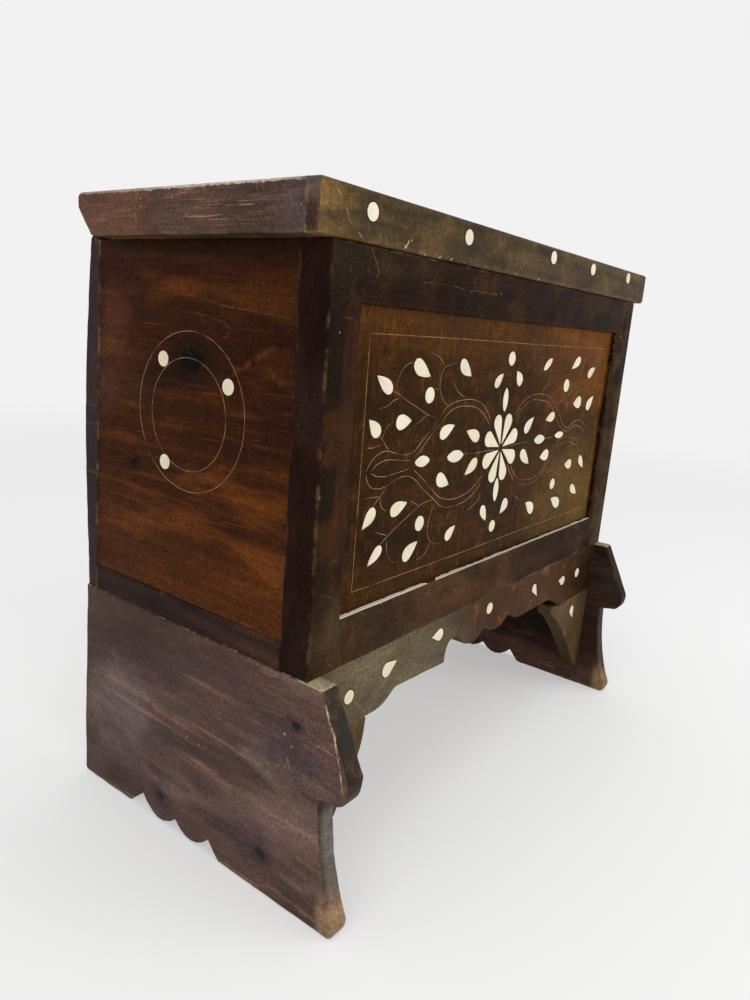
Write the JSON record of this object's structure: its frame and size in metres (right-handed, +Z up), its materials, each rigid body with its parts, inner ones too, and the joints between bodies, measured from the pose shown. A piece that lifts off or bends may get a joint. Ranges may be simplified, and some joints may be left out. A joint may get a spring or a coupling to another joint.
{
  "type": "inlaid wooden chest",
  "caption": "Small dark wooden chest on two board feet, with a scalloped apron, a framed front panel inlaid with bone leaves and a rosette, and a thick hinged lid.",
  "frame": {"origin": "centre of the chest's footprint, on the floor under its feet", "axes": "+Z up, -Y out of the panelled front, +X to the right of someone facing the front"},
  "size_m": [0.639, 0.3466, 0.5654],
  "materials": {
    "frame_wood": "near-black stained softwood with a worn satin wax, pale at the arrises",
    "panel_wood": "warm brown stained pine, satin wax",
    "foot_wood": "dull purple-brown stained pine, knots and scratches",
    "lid_wood": "greyish brown stained pine, chipped edges, satin wax",
    "bare_wood": "bare aged pine, sawn",
    "bone": "polished cream bone with fine brown pores",
    "hinge_iron": "dark forged iron, lightly rusted"
  },
  "bodies": {
    "chest": {"front_stile_left": "frame_wood", "front_stile_right": "frame_wood", "front_top_rail": "frame_wood", "front_bottom_rail": "frame_wood", "side_rail_left": "frame_wood", "side_rail_right": "frame_wood", "back_board": "frame_wood", "back_rail": "frame_wood", "front_panel": "panel_wood", "side_panel_left": "panel_wood", "side_panel_right": "panel_wood", "foot_board_left": "foot_wood", "foot_board_right": "foot_wood", "apron_front": "foot_wood", "foot_bracket_left": "foot_wood", "foot_bracket_right": "foot_wood", "bottom_board_front": "bare_wood", "bottom_board_rear": "bare_wood", "bottom_cleat_left": "bare_wood", "bottom_cleat_right": "bare_wood", "rosette_petal_1": "bone", "rosette_petal_2": "bone", "rosette_petal_3": "bone", "rosette_petal_4": "bone", "rosette_petal_5": "bone", "rosette_petal_6": "bone", "rosette_petal_7": "bone", "rosette_petal_8": "bone", "apron_bone_1": "bone", "apron_bone_2": "bone", "apron_bone_3": "bone", "apron_bone_4": "bone", "apron_bone_5": "bone", "apron_bone_6": "bone", "apron_bone_7": "bone", "bracket_bone": "bone", "side_bone_1": "bone", "side_bone_2": "bone", "side_bone_3": "bone", "hinge_left_chest_leaf": "hinge_iron", "hinge_left_pin": "hinge_iron", "hinge_right_chest_leaf": "hinge_iron", "hinge_right_pin": "hinge_iron"},
    "lid": {"lid_board_front": "lid_wood", "lid_board_rear": "lid_wood", "lid_front_edging": "lid_wood", "lid_end_edging_left_front": "lid_wood", "lid_end_edging_left_rear": "lid_wood", "lid_end_edging_right_front": "lid_wood", "lid_end_edging_right_rear": "lid_wood", "lid_batten_left": "bare_wood", "lid_batten_right": "bare_wood", "lid_bone_1": "bone", "lid_bone_2": "bone", "lid_bone_3": "bone", "lid_bone_4": "bone", "lid_bone_5": "bone", "hinge_left_lid_leaf": "hinge_iron", "hinge_right_lid_leaf": "hinge_iron"}
  },
  "joints": [
    {"name": "lid_hinge", "type": "hinge", "parent": "chest", "child": "lid", "pos_m": [0, 0.14375, 0.5339], "axis": [-1, 0, 0], "range_deg": [0, 108]}
  ]
}
